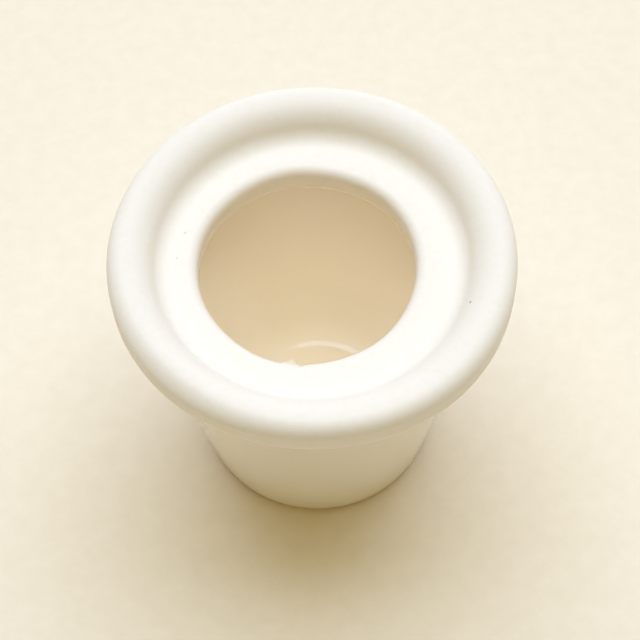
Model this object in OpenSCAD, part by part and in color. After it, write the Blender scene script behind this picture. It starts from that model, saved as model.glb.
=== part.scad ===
// Ceramic desk inkwell: a tapered cup with a wide dished rim, glazed white, on a bare foot ring.
// Millimetres, +Z up, origin on the ground at the centre of the foot.

/* [Rim] */
// Height of the whole pot, ground to top of the rim
height = 44; // [38:0.5:56]
// Outside diameter of the rolled rim
rim_d = 51; // [49:0.5:60]
// Thickness of the rim at its edge
rim_t = 5.4; // [4.8:0.1:7]
// Radius of the rim's upper outside round
rim_top_r = 2; // [1.5:0.1:3]
// Radius of the rim's lower outside round
rim_low_r = 1.6; // [0.8:0.1:2.2]
// Least upright land between those two rounds
edge_land = 0.2; // [0.1:0.1:0.6]
// Radius of the roll where the rim turns in towards the dish
roll_r = 4.1; // [3:0.1:5]
// Depth of the dish below the top of the rim
dish_depth = 3.8; // [2:0.1:4]
// Radius of the cove round the floor of the dish
cove_r = 2.6; // [2:0.1:4]

/* [Mouth] */
// Width of the rim, from its outer edge in to the mouth
rim_w = 11.75; // [11.2:0.05:15]
// How far the hand-cut mouth sits off the rim's centre, along X
mouth_shift = -0.65; // [-1:0.05:1]
// Depth of the throat, floor of the dish to ceiling of the well
throat_depth = 4; // [3:0.1:6]
// Radius of the lip at the mouth's upper edge
lip_r = 1.3; // [0.6:0.1:1.6]
// Radius of the mouth's lower edge
throat_edge_r = 0.8; // [0.5:0.1:1.2]

/* [Cup] */
// Outside diameter at the foot
foot_d = 32.8; // [28:0.2:36]
// How far the rim stands out over the top of the cup
overhang = 3; // [2.7:0.1:4.5]
// Thickness of the wall
wall = 3.6; // [2.8:0.1:4.2]
// Thickness of the floor, ground to inside of the well
floor_t = 5; // [4:0.1:8]
// Radius of the bowl between the floor and the wall of the well
bowl_r = 8; // [3:0.1:9]
// Radius of the foot's outer edge
foot_edge_r = 1.5; // [0.4:0.1:1.8]
// Width of the foot ring
foot_ring_w = 4; // [3:0.1:6]
// Depth of the hollow inside the foot ring
hollow_depth = 1.4; // [1:0.1:1.8]
// Radius of the corner in that hollow
hollow_edge_r = 0.6; // [0.3:0.1:0.8]

/* [Slip joint] */
// Thickness of the slip between the rim and the cup
slip_t = 0.4; // [0.2:0.05:0.8]
// Radius of the finished fillet under the rim
fillet_r = 0.5; // [0.3:0.1:0.8]

/* [Glaze] */
// Thickness of the glaze
glaze_t = 0.3; // [0.15:0.05:0.5]
// Height above the ground at which the glaze stops
glaze_line = 0.7; // [0.5:0.1:1.3]
// Height above the ground at which the glaze in the hollow stops
hollow_line = 0.6; // [0.2:0.1:0.9]

/* [Hidden] */
$fn = 96;

clay_colour = "wheat";
slip_colour = "tan";
glaze_colour = "white";

// Levels
rim_r = rim_d / 2;
seat_z = height - rim_t;
dish_z = height - dish_depth;
ceiling_z = dish_z - throat_depth;
cup_top_z = seat_z + glaze_t - slip_t;
core_z = (seat_z + dish_z) / 2;

// Outside and inside of the tapered wall
foot_r = foot_d / 2;
neck_r = rim_r - overhang;
taper = (neck_r - foot_r) / seat_z;
slope = sqrt(1 + taper * taper);
function outside_r(z, skin) = foot_r + taper * z - skin * slope;
function inside_r(z, skin) = foot_r + taper * z - (wall - skin) * slope;

// Outer edge of the rim: the lower round gives way where the rim is too thin for both
crest_r = rim_r - rim_top_r;
crest_z = height - rim_top_r;
low_r = min(rim_low_r, rim_t - rim_top_r - edge_land);
low_x = rim_r - low_r;
low_z = seat_z + low_r;

// Roll of the rim and cove of the dish, two arcs that touch
roll_z = height - roll_r;
cove_z = dish_z + cove_r;
cove_x = crest_r - sqrt(pow(roll_r + cove_r, 2) - pow(cove_z - roll_z, 2));

// Mouth, spigot and the socket that takes it
mouth_r = rim_r - rim_w;
socket_r = inside_r(ceiling_z + glaze_t, glaze_t);
spigot_r = socket_r - slip_t;

// Centre of the fillet under the rim
fillet_z = seat_z - fillet_r;
fillet_x = outside_r(fillet_z, 0) + fillet_r * slope;

// Foot
hollow_r = foot_r - foot_ring_w;

// Room left round a cut, so that it passes clean through
clear = 1;

// In every section below, skin is how far the surface lies under the finished one:
// 0 gives the glazed surface, glaze_t the clay beneath it.

// Tapered outside of the cup with its rounded foot, filled to the axis
module cup_outline(skin, top_z) {
    edge_x = outside_r(foot_edge_r, skin) - foot_edge_r * slope;
    polygon([
        [0, 0],
        [edge_x, 0],
        [edge_x + foot_edge_r / slope, foot_edge_r * (1 - taper / slope)],
        [outside_r(top_z, skin), top_z],
        [0, top_z]
    ]);
    translate([edge_x, foot_edge_r]) circle(foot_edge_r);
}

// Empty inside of the cup, with its bowl-shaped floor
module well_outline(skin) {
    bowl_z = floor_t + bowl_r;
    bowl_x = inside_r(bowl_z, 0) - bowl_r * slope;
    bowl = bowl_r + skin;
    polygon([
        [0, floor_t - skin],
        [bowl_x, floor_t - skin],
        [bowl_x, bowl_z],
        [bowl_x + bowl / slope, bowl_z - bowl * taper / slope],
        [inside_r(ceiling_z + skin, skin), ceiling_z + skin],
        [0, ceiling_z + skin]
    ]);
    translate([bowl_x, bowl_z]) circle(bowl);
}

// Dish above the rim: flat floor, cove, then the inner side of the roll
module dish_outline(skin) {
    translate([0, dish_z - skin]) square([cove_x, dish_depth + skin + clear]);
    translate([cove_x, cove_z]) circle(cove_r + skin);
    difference() {
        polygon([
            [cove_x, cove_z],
            [crest_r, roll_z],
            [crest_r, height + clear],
            [cove_x, height + clear]
        ]);
        translate([crest_r, roll_z]) circle(roll_r - skin);
    }
}

// Quarter of a round edge about its centre, turned up or down
module quarter_round(radius, up) {
    intersection() {
        circle(radius);
        mirror([0, up ? 0 : 1]) square(radius);
    }
}

// Rolled rim, filled to the axis
module rim_outline(skin) {
    difference() {
        union() {
            translate([0, seat_z + skin]) square([low_x, low_r - skin]);
            translate([0, low_z]) square([rim_r - skin, crest_z - low_z]);
            translate([0, crest_z]) square([crest_r, rim_top_r - skin]);
            translate([crest_r, crest_z]) quarter_round(rim_top_r - skin, true);
            translate([low_x, low_z]) quarter_round(low_r - skin, false);
        }
        dish_outline(skin);
    }
}

// Fillet of wiped slip in the corner under the rim, with back as the outline's points behind it
module fillet_outline(skin, back) {
    fillet = fillet_r + skin;
    difference() {
        polygon(concat(back, [
            [fillet_x - fillet / slope, fillet_z + fillet * taper / slope],
            [fillet_x, fillet_z],
            [fillet_x, seat_z + skin]
        ]));
        translate([fillet_x, fillet_z]) circle(fillet);
    }
}

// Throat with its rounded upper lip and lower edge, about the mouth's own axis
module mouth_outline(skin) {
    lip_x = mouth_r + lip_r;
    edge_x = mouth_r + throat_edge_r;
    translate([0, ceiling_z - clear]) square([mouth_r + skin, throat_depth + 2 * clear]);
    difference() {
        translate([0, dish_z - lip_r]) square([lip_x, lip_r + clear]);
        translate([lip_x, dish_z - lip_r]) circle(lip_r - skin);
    }
    difference() {
        translate([0, ceiling_z - clear]) square([edge_x, throat_edge_r + clear]);
        translate([edge_x, ceiling_z + throat_edge_r]) circle(throat_edge_r - skin);
    }
}

// Hollow inside the foot ring
module hollow_outline(skin) {
    edge_x = hollow_r - hollow_edge_r;
    edge_z = hollow_depth - hollow_edge_r;
    translate([0, -clear]) square([hollow_r + skin, edge_z + clear]);
    translate([0, -clear]) square([edge_x, hollow_depth + skin + clear]);
    translate([edge_x, edge_z]) circle(hollow_edge_r + skin);
}

module mouth_cut(skin) {
    translate([mouth_shift, 0, 0]) rotate_extrude() mouth_outline(skin);
}

// The whole pot at one skin: the glazed form at 0, the clay body at glaze_t
module pot(skin, bottom_z) {
    difference() {
        rotate_extrude() {
            intersection() {
                difference() {
                    union() {
                        cup_outline(skin, core_z);
                        rim_outline(skin);
                        fillet_outline(skin, [[crest_r / 2, seat_z + skin], [crest_r / 2, ceiling_z]]);
                    }
                    well_outline(skin);
                }
                translate([0, bottom_z]) square([rim_r, height]);
            }
        }
        mouth_cut(skin);
    }
}

// Tapered pot with its socket for the rim and its bare foot ring
module cup() {
    color(clay_colour)
        rotate_extrude() {
            difference() {
                cup_outline(glaze_t, cup_top_z);
                well_outline(glaze_t);
                translate([0, ceiling_z + glaze_t]) square([socket_r, seat_z - ceiling_z]);
                hollow_outline(glaze_t);
            }
        }
}

// Flange with rolled edge, dish, throat and spigot
module dished_rim() {
    color(clay_colour)
        difference() {
            rotate_extrude() {
                rim_outline(glaze_t);
                translate([0, ceiling_z + glaze_t]) square([spigot_r, seat_z - ceiling_z]);
            }
            mouth_cut(glaze_t);
        }
}

// Slip round the spigot, over the cup's top edge and in the corner outside
module slip_joint() {
    color(slip_colour)
        rotate_extrude()
            fillet_outline(glaze_t, [
                [spigot_r, seat_z + glaze_t],
                [spigot_r, ceiling_z + glaze_t],
                [socket_r, ceiling_z + glaze_t],
                [socket_r, cup_top_z],
                [outside_r(cup_top_z, glaze_t), cup_top_z]
            ]);
}

// White glaze over all but the foot
module glaze_coat() {
    color(glaze_colour)
        difference() {
            pot(0, glaze_line);
            pot(glaze_t, 0);
        }
}

// White glaze in the hollow of the foot
module foot_glaze() {
    color(glaze_colour)
        rotate_extrude() {
            difference() {
                hollow_outline(glaze_t);
                hollow_outline(0);
                translate([0, -clear]) square([foot_r, hollow_line + clear]);
            }
        }
}

cup();
dished_rim();
slip_joint();
glaze_coat();
foot_glaze();
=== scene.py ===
"""Ceramic desk inkwell: a white glazed pot with a rolled, dished rim, standing on cream paper."""
import math

import bpy
from mathutils import Matrix, Vector, noise


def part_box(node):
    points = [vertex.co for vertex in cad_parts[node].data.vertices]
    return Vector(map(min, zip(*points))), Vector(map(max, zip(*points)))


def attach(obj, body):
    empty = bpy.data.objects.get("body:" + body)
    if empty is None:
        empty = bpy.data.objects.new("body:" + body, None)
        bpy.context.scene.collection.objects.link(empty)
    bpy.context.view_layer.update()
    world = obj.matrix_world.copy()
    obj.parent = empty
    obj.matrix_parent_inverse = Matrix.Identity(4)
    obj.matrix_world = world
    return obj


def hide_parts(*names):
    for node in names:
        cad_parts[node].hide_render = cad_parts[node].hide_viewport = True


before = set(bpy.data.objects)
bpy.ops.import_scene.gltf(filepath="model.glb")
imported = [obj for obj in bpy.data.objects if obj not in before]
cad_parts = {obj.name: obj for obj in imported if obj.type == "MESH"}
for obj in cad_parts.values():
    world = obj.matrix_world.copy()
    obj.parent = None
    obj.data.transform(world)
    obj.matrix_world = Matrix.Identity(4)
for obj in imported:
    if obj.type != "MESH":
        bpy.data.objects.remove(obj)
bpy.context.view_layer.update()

# Sizes of the pot in millimetres, from the axis and from the ground
MM = 0.001
RIM_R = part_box("glaze_coat")[1][0] / MM
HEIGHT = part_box("glaze_coat")[1][2] / MM
GLAZE_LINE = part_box("glaze_coat")[0][2] / MM
GLAZE_T = RIM_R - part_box("dished_rim")[1][0] / MM

# Rim: its thickness, the rounds of its edge, the roll, the dish and the cove round the dish
RIM_T = 5.4
RIM_TOP_R = 2.0
RIM_LOW_R = 1.6
ROLL_R = 4.1
DISH_DEPTH = 3.8
COVE_R = 2.6

# Mouth: the width of the rim round it, its shift along X, the throat and the rounds of its two edges
RIM_W = 11.75
MOUTH_SHIFT = -0.65
THROAT_DEPTH = 4.0
LIP_R = 1.3
THROAT_EDGE_R = 0.8

# Cup: its foot, how far the rim stands out over it, the wall, the floor and the bowl inside
FOOT_R = 16.4
OVERHANG = 3.0
WALL = 3.6
FLOOR_T = 5.0
BOWL_R = 8.0
FOOT_EDGE_R = 1.5
FOOT_RING_W = 4.0

# Hollow inside the foot ring, and the height at which its glaze stops
HOLLOW_DEPTH = 1.4
HOLLOW_EDGE_R = 0.6
HOLLOW_LINE = 0.6

# Slip between the rim and the cup, and its fillet under the rim
SLIP_T = 0.4
FILLET_R = 0.5

# Levels and radii that follow from those sizes
SEAT_Z = HEIGHT - RIM_T
DISH_Z = HEIGHT - DISH_DEPTH
CEILING_Z = DISH_Z - THROAT_DEPTH
CUP_TOP_Z = SEAT_Z + GLAZE_T - SLIP_T
MOUTH_R = RIM_R - RIM_W
NECK_R = RIM_R - OVERHANG
TAPER = (NECK_R - FOOT_R) / SEAT_Z
SLOPE = math.hypot(1, TAPER)
LEAN = math.degrees(math.atan(TAPER))
CREST_R = RIM_R - RIM_TOP_R
CREST_Z = HEIGHT - RIM_TOP_R
ROLL_Z = HEIGHT - ROLL_R
COVE_Z = DISH_Z + COVE_R
COVE_X = CREST_R - math.sqrt((ROLL_R + COVE_R) ** 2 - (COVE_Z - ROLL_Z) ** 2)
DISH_PITCH = math.degrees(math.asin((CREST_R - COVE_X) / (ROLL_R + COVE_R)))
HOLLOW_R = FOOT_R - FOOT_RING_W

# How finely the pot is turned: steps a turn, longest straight run, widest step of an arc in degrees
TURNS = 240
RUN_STEP = 1.2
ARC_STEP = 6.0
FEWEST_ARC_STEPS = 3
# Points closer than this many metres are one point
MERGE = 1e-7
# Edges that turn by more than this many degrees stay crisp
CRISP_ANGLE = 40

# Hand work: the mouth's shift fades out across the dish, between these two radii
BLEND_IN = 15.2
BLEND_OUT = 17.2
# How far the whole pot draws in unevenly, and over what length
WOBBLE = 0.03
WOBBLE_SPAN = 22.0
# Where the rim is out of round: (compass angle, half width in degrees, stand-out)
RIM_SWELLS = ((-48.0, 45.0, 0.33), (-110.0, 55.0, -0.12))
# Where the rim's shoulder is worn down: (compass angle, half width in degrees, depth)
SHOULDER_WORN = (-135.0, 50.0, 0.45)
# The stretch over which those marks fade out at the edge of the rim
RIM_FADE = 1.0
# How far the foot is drawn in, and where its centre stands off the rim's axis
FOOT_DRAWN = 0.28
FOOT_SHIFT = (0.05, -0.35)
# Long waves round the mouth: (waves a turn, phase in degrees, depth)
MOUTH_WAVES = ((2, 40, 0.04), (3, 100, 0.05), (5, 20, 0.05), (7, 200, 0.03))
# A shallow nick in the lip and a run of glaze below it: (compass angle, half width in degrees, stand-out)
LIP_NICK = (-97.0, 6.5, -0.35)
GLAZE_RUN = (-99.3, 6.0, 1.15)
# Depths below the dish between which the nick runs out, and the run of glaze begins and ends
NICK_END = (0.9 * LIP_R, 1.6 * LIP_R)
RUN_START = (0.3 * LIP_R, 1.0 * LIP_R)
RUN_END = (1.3 * LIP_R, 2.4 * LIP_R)


def outside_r(z, skin):
    """Radius of the cup's outside at height z, skin millimetres under the glaze's face."""
    return FOOT_R + TAPER * z - skin * SLOPE


def inside_r(z, skin):
    """Radius of the well at height z, skin millimetres behind the glaze's face."""
    return FOOT_R + TAPER * z - (WALL - skin) * SLOPE


SOCKET_R = inside_r(CEILING_Z + GLAZE_T, GLAZE_T)
SPIGOT_R = SOCKET_R - SLIP_T


class Outline:
    """A turned section, drawn point by point as (radius, height)."""

    def __init__(self, radius, height):
        self.points = [(radius, height)]

    def to(self, radius, height):
        """A straight stretch, cut into short runs."""
        from_r, from_z = self.points[-1]
        length = math.hypot(radius - from_r, height - from_z)
        steps = max(1, math.ceil(length / RUN_STEP))
        for i in range(1, steps + 1):
            share = i / steps
            self.points.append((from_r + (radius - from_r) * share, from_z + (height - from_z) * share))

    def round(self, centre, radius, start, end):
        """A round stretch about a centre, between two angles in degrees."""
        steps = max(FEWEST_ARC_STEPS, math.ceil(abs(end - start) / ARC_STEP))
        for i in range(steps + 1):
            angle = math.radians(start + (end - start) * i / steps)
            point = (centre[0] + radius * math.cos(angle), centre[1] + radius * math.sin(angle))
            if math.dist(point, self.points[-1]) > MERGE / MM:
                self.points.append(point)


def bowl_centre():
    """Centre of the round between the well's floor and its wall."""
    z = FLOOR_T + BOWL_R
    return inside_r(z, 0) - BOWL_R * SLOPE, z


def foot_edge_centre(skin):
    """Centre of the foot's rounded outer edge."""
    return outside_r(FOOT_EDGE_R, skin) - FOOT_EDGE_R * SLOPE, FOOT_EDGE_R


def fillet_centre():
    """Centre of the fillet in the corner under the rim."""
    z = SEAT_Z - FILLET_R
    return outside_r(z, 0) + FILLET_R * SLOPE, z


def hollow_centre():
    """Centre of the round corner in the hollow of the foot."""
    return HOLLOW_R - HOLLOW_EDGE_R, HOLLOW_DEPTH - HOLLOW_EDGE_R


def pot_face(skin):
    """The pot's face from the middle of the well's floor, up, over the rim and down to its fillet."""
    bowl = bowl_centre()
    fillet = fillet_centre()
    lip = (MOUTH_R + LIP_R, DISH_Z - LIP_R)
    throat_edge = (MOUTH_R + THROAT_EDGE_R, CEILING_Z + THROAT_EDGE_R)
    rim_low = (RIM_R - RIM_LOW_R, SEAT_Z + RIM_LOW_R)

    face = Outline(0, FLOOR_T - skin)
    face.to(bowl[0], FLOOR_T - skin)
    face.round(bowl, BOWL_R + skin, -90, -LEAN)
    face.to(inside_r(CEILING_Z + skin, skin), CEILING_Z + skin)
    face.to(throat_edge[0], CEILING_Z + skin)
    face.round(throat_edge, THROAT_EDGE_R - skin, -90, -180)
    face.to(MOUTH_R + skin, lip[1])
    face.round(lip, LIP_R - skin, 180, 90)
    face.to(COVE_X, DISH_Z - skin)
    face.round((COVE_X, COVE_Z), COVE_R + skin, -90, -90 + DISH_PITCH)
    face.round((CREST_R, ROLL_Z), ROLL_R - skin, 90 + DISH_PITCH, 90)
    face.round((CREST_R, CREST_Z), RIM_TOP_R - skin, 90, 0)
    face.round(rim_low, RIM_LOW_R - skin, 0, -90)
    face.to(fillet[0], SEAT_Z + skin)
    face.round(fillet, FILLET_R + skin, 90, 180 - LEAN)
    return face


def glaze_coat_outline():
    """The glaze's face and back, joined by a round edge at the glaze line."""
    face = pot_face(0)
    back = pot_face(GLAZE_T)
    bead_r = GLAZE_T * SLOPE / 2
    stop = math.degrees(math.asin((GLAZE_LINE + bead_r) / FOOT_EDGE_R - 1))
    for side, skin in ((face, 0), (back, GLAZE_T)):
        edge = foot_edge_centre(skin)
        side.to(edge[0] + FOOT_EDGE_R / SLOPE, FOOT_EDGE_R * (1 - TAPER / SLOPE))
        side.round(edge, FOOT_EDGE_R, -LEAN, stop)
    bead = (face.points[-1][0] - bead_r, GLAZE_LINE + bead_r)
    face.round(bead, bead_r, 0, -180)
    return face.points + back.points[::-1]


def cup_outline():
    """The clay cup: well, socket for the rim, tapered side, bare foot ring and hollow."""
    bowl = bowl_centre()
    foot_edge = foot_edge_centre(GLAZE_T)
    hollow = hollow_centre()

    cup = Outline(0, FLOOR_T - GLAZE_T)
    cup.to(bowl[0], FLOOR_T - GLAZE_T)
    cup.round(bowl, BOWL_R + GLAZE_T, -90, -LEAN)
    cup.to(SOCKET_R, CEILING_Z + GLAZE_T)
    cup.to(SOCKET_R, CUP_TOP_Z)
    cup.to(outside_r(CUP_TOP_Z, GLAZE_T), CUP_TOP_Z)
    cup.to(foot_edge[0] + FOOT_EDGE_R / SLOPE, FOOT_EDGE_R * (1 - TAPER / SLOPE))
    cup.round(foot_edge, FOOT_EDGE_R, -LEAN, -90)
    cup.to(HOLLOW_R + GLAZE_T, 0)
    cup.to(HOLLOW_R + GLAZE_T, hollow[1])
    cup.round(hollow, HOLLOW_EDGE_R + GLAZE_T, 0, 90)
    cup.to(0, HOLLOW_DEPTH + GLAZE_T)
    return cup.points


def dished_rim_outline():
    """The clay rim: spigot, throat, lip, dish and rolled edge, as one closed loop."""
    spigot_z = CEILING_Z + GLAZE_T
    seat_z = SEAT_Z + GLAZE_T
    whole = pot_face(GLAZE_T).points
    first = next(i for i, (r, z) in enumerate(whole) if z >= spigot_z - MERGE / MM)
    last = next(i for i, (r, z) in enumerate(whole) if i > first and r > NECK_R and z <= seat_z)
    rim = Outline(SPIGOT_R, spigot_z)
    rim.points += [(r, z) for r, z in whole[first + 1:last + 1] if r < SPIGOT_R or z > SEAT_Z]
    rim.to(SPIGOT_R, seat_z)
    rim.to(SPIGOT_R, spigot_z)
    return rim.points[:-1]


def slip_joint_outline():
    """The slip round the spigot, over the cup's edge and in the corner under the rim, as one closed loop."""
    slip = Outline(SPIGOT_R, SEAT_Z + GLAZE_T)
    slip.to(SPIGOT_R, CEILING_Z + GLAZE_T)
    slip.to(SOCKET_R, CEILING_Z + GLAZE_T)
    slip.to(SOCKET_R, CUP_TOP_Z)
    slip.to(outside_r(CUP_TOP_Z, GLAZE_T), CUP_TOP_Z)
    slip.round(fillet_centre(), FILLET_R + GLAZE_T, 180 - LEAN, 90)
    slip.to(SPIGOT_R, SEAT_Z + GLAZE_T)
    return slip.points[:-1]


def foot_glaze_outline():
    """The glaze in the hollow of the foot."""
    corner = hollow_centre()
    skin = Outline(0, HOLLOW_DEPTH)
    skin.to(corner[0], HOLLOW_DEPTH)
    skin.round(corner, HOLLOW_EDGE_R, 90, 0)
    skin.to(HOLLOW_R, HOLLOW_LINE)
    skin.to(HOLLOW_R + GLAZE_T, HOLLOW_LINE)
    skin.to(HOLLOW_R + GLAZE_T, corner[1])
    skin.round(corner, HOLLOW_EDGE_R + GLAZE_T, 0, 90)
    skin.to(0, HOLLOW_DEPTH + GLAZE_T)
    return skin.points


def turned(name, points, closed):
    """A piece turned on the wheel: one point drawn out along the outline, then spun about the axis."""
    bpy.ops.object.select_all(action="DESELECT")
    bpy.ops.mesh.primitive_plane_add(size=MM)
    piece = bpy.context.object
    piece.name = piece.data.name = name
    bpy.ops.object.mode_set(mode="EDIT")
    bpy.ops.mesh.merge(type="CENTER")
    spots = [Vector((r * MM, 0, z * MM)) for r, z in points]
    bpy.ops.transform.translate(value=spots[0])
    for here, there in zip(spots, spots[1:] + spots[:1] * closed):
        bpy.ops.mesh.extrude_vertices_move(TRANSFORM_OT_translate={"value": there - here})
    bpy.ops.mesh.select_all(action="SELECT")
    bpy.ops.mesh.remove_doubles(threshold=MERGE)
    bpy.ops.mesh.spin(steps=TURNS, angle=math.tau, center=(0, 0, 0), axis=(0, 0, 1))
    bpy.ops.mesh.select_all(action="SELECT")
    bpy.ops.mesh.remove_doubles(threshold=MERGE)
    bpy.ops.mesh.normals_make_consistent(inside=False)
    bpy.ops.object.mode_set(mode="OBJECT")
    bpy.ops.object.shade_smooth_by_angle(angle=math.radians(CRISP_ANGLE))
    return piece


def ease(low, high, value):
    """0 below low, 1 above high, smooth between."""
    share = min(1, max(0, (value - low) / (high - low)))
    return share * share * (3 - 2 * share)


def swell(angle, mark):
    """Stand-out of a mark of the hand at a compass angle, full at its middle and none past its width."""
    compass, half_width, stand_out = mark
    off = (math.degrees(angle) - compass + 180) % 360 - 180
    return stand_out * (1 - ease(0, half_width, abs(off)))


def lip_relief(angle, height):
    """How far the lip stands into the mouth at a compass angle and height."""
    relief = sum(rise * math.cos(waves * angle + math.radians(phase)) for waves, phase, rise in MOUTH_WAVES)
    depth = DISH_Z - height
    relief += swell(angle, LIP_NICK) * (1 - ease(*NICK_END, depth))
    relief += swell(angle, GLAZE_RUN) * ease(*RUN_START, depth) * (1 - ease(*RUN_END, depth))
    return relief


def hand_worked(piece):
    """Moves a turned piece from true round to the hand-finished pot's shape."""
    for vertex in piece.data.vertices:
        spot = vertex.co / MM
        radius = math.hypot(spot.x, spot.y)
        angle = math.atan2(spot.y, spot.x)
        if spot.z > CEILING_Z - MERGE / MM and radius < BLEND_OUT:
            near_mouth = 1 - ease(BLEND_IN, BLEND_OUT, radius)
            relief = near_mouth * lip_relief(angle, spot.z)
            spot.x += near_mouth * MOUTH_SHIFT - relief * math.cos(angle)
            spot.y -= relief * math.sin(angle)
        wobble = WOBBLE * (noise.noise(spot / WOBBLE_SPAN) - 1) / 2
        on_rim = ease(COVE_X, CREST_R, radius) * ease(SEAT_Z - RIM_FADE, SEAT_Z + RIM_FADE, spot.z)
        wobble += on_rim * sum(swell(angle, mark) for mark in RIM_SWELLS)
        on_shoulder = ease(CREST_R - RIM_FADE, RIM_R, radius) * ease(SEAT_Z + RIM_LOW_R, HEIGHT, spot.z)
        spot.z -= on_shoulder * swell(angle, SHOULDER_WORN)
        on_foot = 1 - ease(0, SEAT_Z, spot.z)
        wobble -= on_foot * FOOT_DRAWN * ease(0, HOLLOW_R, radius)
        spot.x += wobble * math.cos(angle) + on_foot * FOOT_SHIFT[0]
        spot.y += wobble * math.sin(angle) + on_foot * FOOT_SHIFT[1]
        vertex.co = spot * MM


class Val:
    """A socket of a node, so that shader sums read as plain sums."""

    def __init__(self, nodes, socket):
        self.nodes = nodes
        self.socket = socket

    def _math(self, operation, first, second):
        return self.nodes.add("ShaderNodeMath", {"operation": operation}, {0: first, 1: second})

    def __add__(self, other):
        return self._math("ADD", self, other)

    def __radd__(self, other):
        return self._math("ADD", other, self)

    def __sub__(self, other):
        return self._math("SUBTRACT", self, other)

    def __rsub__(self, other):
        return self._math("SUBTRACT", other, self)

    def __mul__(self, other):
        return self._math("MULTIPLY", self, other)

    def __rmul__(self, other):
        return self._math("MULTIPLY", other, self)

    def __lt__(self, other):
        return self._math("LESS_THAN", self, other)

    def __gt__(self, other):
        return self._math("GREATER_THAN", self, other)


class Nodes:
    """The nodes of a material or of the room."""

    def __init__(self, tree):
        self.tree = tree

    def add(self, kind, settings=None, values=None, out=0):
        """A node with its settings made and its sockets filled; returns one of its outputs."""
        node = self.tree.nodes.new(kind)
        for key, value in (settings or {}).items():
            setattr(node, key, value)
        self.fill(node, values or {})
        return Val(self, node.outputs[out])

    def fill(self, node, values):
        """Sets or links the sockets of a node."""
        for key, value in values.items():
            if isinstance(value, Val):
                self.tree.links.new(value.socket, node.inputs[key])
            else:
                node.inputs[key].default_value = value


# Sockets of a Mix node that mixes colours: its factor, its two colours and its result
MIX_FACTOR = 0
MIX_FIRST = 6
MIX_SECOND = 7
MIX_RESULT = 2

# Share of a round spot's radius that has the spot's full strength
SPOT_CORE = 0.5


class Paint(Nodes):
    """A material with one Principled shader; its patterns have their scale in cells a metre."""

    def __init__(self, name):
        self.material = bpy.data.materials.new(name)
        self.material.use_nodes = True
        super().__init__(self.material.node_tree)
        self.shader = self.tree.nodes["Principled BSDF"]
        self.spot = self.add("ShaderNodeTexCoord", out="Object")

    def height(self):
        """Height above the ground, in metres."""
        return self.add("ShaderNodeSeparateXYZ", None, {0: self.spot}, "Z")

    def mix(self, factor, first, second):
        """A colour between two colours."""
        values = {MIX_FACTOR: factor, MIX_FIRST: first, MIX_SECOND: second}
        return self.add("ShaderNodeMix", {"data_type": "RGBA"}, values, MIX_RESULT)

    def ramp(self, value, low, high):
        """0 below low, 1 above high, smooth between."""
        settings = {"interpolation_type": "SMOOTHSTEP"}
        return self.add("ShaderNodeMapRange", settings, {"Value": value, "From Min": low, "From Max": high})

    def noise(self, scale, detail=2.0, roughness=0.5):
        """Cloudy variation from 0 to 1."""
        values = {"Vector": self.spot, "Scale": scale, "Detail": detail, "Roughness": roughness}
        return self.add("ShaderNodeTexNoise", None, values)

    def patches(self, low, high, **pattern):
        """A mask of soft patches, none below one level of a noise and full above another."""
        return self.ramp(self.noise(**pattern), low, high)

    def uneven(self, base, spread, **pattern):
        """A value that drifts from its base up to its spread above it."""
        return base + self.noise(**pattern) * spread

    def relief(self, strength, depth, **pattern):
        """A Bump on a noise, its depth in millimetres."""
        values = {"Height": self.noise(**pattern), "Strength": strength, "Distance": depth * MM}
        return self.add("ShaderNodeBump", None, values, "Normal")

    def dot(self, middle, radius, strength):
        """A mask of one soft round spot, its middle and radius in millimetres."""
        reach = {0: self.spot, 1: Vector(middle) * MM}
        distance = self.add("ShaderNodeVectorMath", {"operation": "DISTANCE"}, reach, "Value")
        return (1 - self.ramp(distance, radius * MM * SPOT_CORE, radius * MM)) * strength

    def specks(self, scale, size, share, strength):
        """A mask of small round specks, present in a share of the cells of a cell pattern."""
        cells = {"Vector": self.spot, "Scale": scale}
        distance = self.add("ShaderNodeTexVoronoi", None, cells, "Distance")
        cell_colour = self.add("ShaderNodeTexVoronoi", None, cells, "Color")
        chance = self.add("ShaderNodeSeparateColor", None, {0: cell_colour})
        return (1 - self.ramp(distance, size * SPOT_CORE, size)) * (chance < share) * strength

    def finish(self, colour, roughness, relief):
        """Feeds the shader and returns the material."""
        self.fill(self.shader, {"Base Color": colour, "Roughness": roughness, "Normal": relief})
        return self.material


# Glaze: painted whiter on the rim, where the cool window light falls, and creamier below it as painted warm
# bounced light; worn where it is handled; painted shade on the run of glaze under the lip
GLAZE_LIT_WHITE = (0.978, 0.927, 0.830, 1)
GLAZE_SHADE_CREAM = (0.975, 0.919, 0.803, 1)
GLAZE_WORN = (0.93, 0.85, 0.70, 1)
GLAZE_RUN_SHADE = (0.87, 0.72, 0.53, 1)
SPECK_BROWN = (0.30, 0.22, 0.15, 1)
GLAZE_IOR = 1.45
GLAZE_CLOUDS = {"scale": 70, "detail": 3, "low": 0.35, "high": 0.75}
GLAZE_WEAR = {"scale": 1400, "low": 0.45, "high": 0.75}
GLAZE_SPECKS = {"scale": 230, "size": 0.05, "share": 0.05, "strength": 0.6}
GLAZE_PEEL = {"scale": 420, "detail": 1, "strength": 0.25, "depth": 0.06}
GLAZE_GLOSS = {"scale": 150, "base": 0.06, "spread": 0.06}
# How much the clouds and the wear tint the glaze, and how much rougher the handled rim is
CLOUDED = 0.25
WORN = 0.3
RUBBED = 0.35
# Painted shade on the run of glaze under the lip's nick: its middle, its reach in millimetres and its
# strength
RUN_SHADE = ((-2.75, -13.0, 38.9), 1.5, 0.9)
# Iron spots that show on the rim: middle, radius in millimetres, strength
IRON_SPOTS = (
    ((19.05, -7.78, 42.8), 0.22, 0.75),
    ((-15.96, 5.09, 40.2), 0.26, 0.22),
    ((-16.92, 1.42, 40.2), 0.20, 0.25),
)

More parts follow.
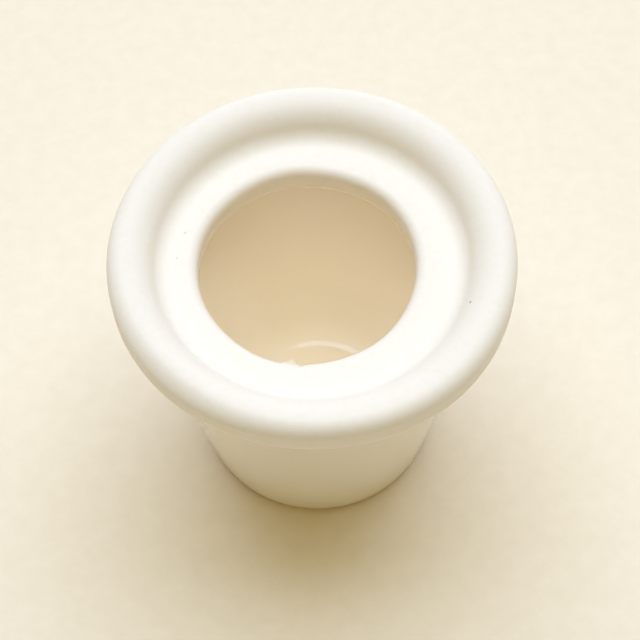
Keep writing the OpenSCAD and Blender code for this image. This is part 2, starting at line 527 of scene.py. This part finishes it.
# Clay, sandy and patchy
CLAY_PALE = (0.72, 0.65, 0.54, 1)
CLAY_DARK = (0.55, 0.47, 0.37, 1)
CLAY_PATCHES = {"scale": 260, "detail": 4, "low": 0.35, "high": 0.7}
CLAY_SPECKS = {"scale": 900, "size": 0.12, "share": 0.15, "strength": 0.5}
CLAY_GRAIN = {"scale": 2200, "detail": 3, "strength": 0.5, "depth": 0.08}
CLAY_ROUGHNESS = {"scale": 600, "base": 0.75, "spread": 0.2}

# Slip, finer than the clay
SLIP_PALE = (0.76, 0.70, 0.60, 1)
SLIP_GREY = (0.64, 0.59, 0.51, 1)
SLIP_PATCHES = {"scale": 420, "detail": 3, "low": 0.3, "high": 0.7}
SLIP_SMEARS = {"scale": 900, "strength": 0.3, "depth": 0.05}
SLIP_ROUGHNESS = {"scale": 500, "base": 0.65, "spread": 0.2}

# Paper, faintly mottled
PAPER_PALE = (0.995, 0.908, 0.736, 1)
PAPER_DARK = (0.955, 0.862, 0.684, 1)
PAPER_MOTTLE = {"scale": 380, "detail": 6, "roughness": 0.65, "low": 0.2, "high": 0.8}
PAPER_TOOTH = {"scale": 1500, "detail": 3, "strength": 0.2, "depth": 0.1}
PAPER_ROUGHNESS = 0.9


def white_glaze():
    """White glaze, faintly cloudy and specked, with painted light: whiter on the rim and creamier below it,
    and painted shade on the glaze run; glossy in the well, rubbed to satin on the rim.
    """
    paint = Paint("white_glaze")
    rim = paint.ramp(paint.height(), CEILING_Z * MM, SEAT_Z * MM)
    # Painted light: the rim mask makes the glaze whiter where the window lights the rim and creamier below,
    # as painted warm bounced light; the clouds add random tone
    lit_and_clouded = rim * (1 - CLOUDED) + paint.patches(**GLAZE_CLOUDS) * CLOUDED
    colour = paint.mix(lit_and_clouded, GLAZE_SHADE_CREAM, GLAZE_LIT_WHITE)
    colour = paint.mix(paint.patches(**GLAZE_WEAR) * rim * WORN, colour, GLAZE_WORN)
    colour = paint.mix(paint.specks(**GLAZE_SPECKS), colour, SPECK_BROWN)
    # Painted shade: the run of glaze under the lip's nick is darkened as if turned from the light
    colour = paint.mix(paint.dot(*RUN_SHADE), colour, GLAZE_RUN_SHADE)
    for spot in IRON_SPOTS:
        colour = paint.mix(paint.dot(*spot), colour, SPECK_BROWN)
    roughness = paint.uneven(**GLAZE_GLOSS) + rim * RUBBED
    paint.fill(paint.shader, {"IOR": GLAZE_IOR})
    return paint.finish(colour, roughness, paint.relief(**GLAZE_PEEL))


def bare_clay():
    """Unglazed fired clay: matt and sandy, with dark specks."""
    paint = Paint("bare_clay")
    colour = paint.mix(paint.patches(**CLAY_PATCHES), CLAY_PALE, CLAY_DARK)
    colour = paint.mix(paint.specks(**CLAY_SPECKS), colour, SPECK_BROWN)
    return paint.finish(colour, paint.uneven(**CLAY_ROUGHNESS), paint.relief(**CLAY_GRAIN))


def fired_slip():
    """Slip wiped into the joint: paler and smoother than the clay, with soft finger smears."""
    paint = Paint("fired_slip")
    colour = paint.mix(paint.patches(**SLIP_PATCHES), SLIP_PALE, SLIP_GREY)
    return paint.finish(colour, paint.uneven(**SLIP_ROUGHNESS), paint.relief(**SLIP_SMEARS))


def cream_paper():
    """The plain paper under the pot."""
    paint = Paint("cream_paper")
    colour = paint.mix(paint.patches(**PAPER_MOTTLE), PAPER_PALE, PAPER_DARK)
    return paint.finish(colour, PAPER_ROUGHNESS, paint.relief(**PAPER_TOOTH))


def pot_pieces():
    """The five pieces of the pot, each in place of its plain solid."""
    glaze, clay, slip = white_glaze(), bare_clay(), fired_slip()
    plan = [
        ("cup", cup_outline(), False, clay, "bare_clay"),
        ("dished_rim", dished_rim_outline(), True, clay, "bare_clay"),
        ("slip_joint", slip_joint_outline(), True, slip, "slip"),
        ("glaze_coat", glaze_coat_outline(), False, glaze, "glaze"),
        ("foot_glaze", foot_glaze_outline(), False, glaze, "glaze"),
    ]
    for node, outline, closed, finish, slot in plan:
        piece = turned("turned_" + node, outline, closed)
        hand_worked(piece)
        piece.data.materials.append(finish)
        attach(piece, "root")
        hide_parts(node)


# The sheet of paper, in metres, and how far it lies under the foot, so that the two share no face
PAPER_SIZE = 3.0
PAPER_DROP = 0.02 * MM


def paper_floor():
    """The sheet of paper that the pot stands on."""
    bpy.ops.object.select_all(action="DESELECT")
    bpy.ops.mesh.primitive_plane_add(size=PAPER_SIZE, location=(0, 0, -PAPER_DROP))
    floor = bpy.context.object
    floor.name = "paper_floor"
    floor.data.materials.append(cream_paper())


# Where the photograph was taken from: the sight line, its reach and the lens
CAMERA_AIM = Vector((0.765, -8.89, 41.5)) * MM
CAMERA_REACH = 204 * MM
CAMERA_PITCH = 60.74
CAMERA_ROLL = -1.86
CAMERA_LENS = 94.2
CAMERA_SENSOR = 36.0
CAMERA_NEAREST = 10 * MM


def photo_camera():
    """The camera, looking down at the pot from the front and a little rolled."""
    pitch, roll = math.radians(CAMERA_PITCH), math.radians(CAMERA_ROLL)
    back = Vector((0, -math.cos(pitch), math.sin(pitch)))
    right = Vector((1, 0, 0))
    up = back.cross(right)
    turned_right = math.cos(roll) * right + math.sin(roll) * up
    turned_up = -math.sin(roll) * right + math.cos(roll) * up
    data = bpy.data.cameras.new("photo_camera")
    data.lens = CAMERA_LENS
    data.sensor_width = CAMERA_SENSOR
    data.clip_start = CAMERA_NEAREST
    camera = bpy.data.objects.new("photo_camera", data)
    turn = Matrix((turned_right, turned_up, back)).transposed().to_4x4()
    camera.matrix_world = Matrix.Translation(CAMERA_AIM + back * CAMERA_REACH) @ turn
    bpy.context.collection.objects.link(camera)
    bpy.context.scene.camera = camera


# Light: a wide cool window behind the pot, its gleam in the glaze, a soft lamp overhead and a dim warm room
WINDOW = {"azimuth": 84, "height": 66, "size": (2.00, 1.50), "colour": (0.663, 0.769, 1.0), "power": 36.2,
          "mirrored": False}
GLEAM = {"azimuth": 131, "height": 81, "size": (0.78, 0.26), "colour": (0.51, 0.67, 1.0), "power": 2.7,
         "lights": False}
OVERHEAD = {"azimuth": 275, "height": 80, "size": (1.20, 1.20), "colour": (1.0, 0.943, 0.60), "power": 5.2,
            "mirrored": False}
LAMP_REACH = 1.6
GLOW_COLOUR = (0.180, 0.123, 0.022, 1)
BACKDROP_COLOUR = (0.95, 0.90, 0.79, 1)
# Rays that see the backdrop: the camera's own, and those off a mirroring or through a clear surface
BACKDROP_RAYS = ("Is Camera Ray", "Is Glossy Ray", "Is Transmission Ray")
# Light that strays in the white well is followed this many times from wall to wall
WELL_BOUNCES = 28


def soft_lamp(name, azimuth, height, size, colour, power, lights=True, mirrored=True):
    """A rectangular lamp, level from side to side, aimed at the pot from a compass and a height angle."""
    around, above = math.radians(azimuth), math.radians(height)
    way = Vector((math.cos(around) * math.cos(above), math.sin(around) * math.cos(above), math.sin(above)))
    side = (Vector((1, 0, 0)) - way * way.x).normalized()
    data = bpy.data.lights.new(name, "AREA")
    data.shape = "RECTANGLE"
    data.size, data.size_y = size
    data.energy = power
    data.color = colour
    lamp = bpy.data.objects.new(name, data)
    place = way * LAMP_REACH + Vector((0, 0, HEIGHT * MM))
    turn = Matrix((side, way.cross(side), way)).transposed().to_4x4()
    lamp.matrix_world = Matrix.Translation(place) @ turn
    lamp.visible_diffuse = lights
    lamp.visible_glossy = mirrored
    bpy.context.collection.objects.link(lamp)


def room_glow():
    """A dim warm room, with a pale backdrop where the camera or a mirroring surface sees past the paper."""
    world = bpy.data.worlds.new("room_glow")
    world.use_nodes = True
    room = Nodes(world.node_tree)
    room_light = room.tree.nodes["Background"]
    room.fill(room_light, {"Color": GLOW_COLOUR})
    glow = Val(room, room_light.outputs[0])
    backdrop = room.add("ShaderNodeBackground", None, {"Color": BACKDROP_COLOUR})
    camera, mirror, clear = (room.add("ShaderNodeLightPath", out=ray) for ray in BACKDROP_RAYS)
    seen = camera + mirror + clear
    both = room.add("ShaderNodeMixShader", None, {0: seen, 1: glow, 2: backdrop})
    room.fill(room.tree.nodes["World Output"], {"Surface": both})
    bpy.context.scene.world = world


bpy.context.scene.view_settings.view_transform = "Standard"
bpy.context.scene.cycles.max_bounces = WELL_BOUNCES
bpy.context.scene.cycles.diffuse_bounces = WELL_BOUNCES
photo_camera()
pot_pieces()
paper_floor()
soft_lamp("window_lamp", **WINDOW)
soft_lamp("window_gleam", **GLEAM)
soft_lamp("overhead_lamp", **OVERHEAD)
room_glow()
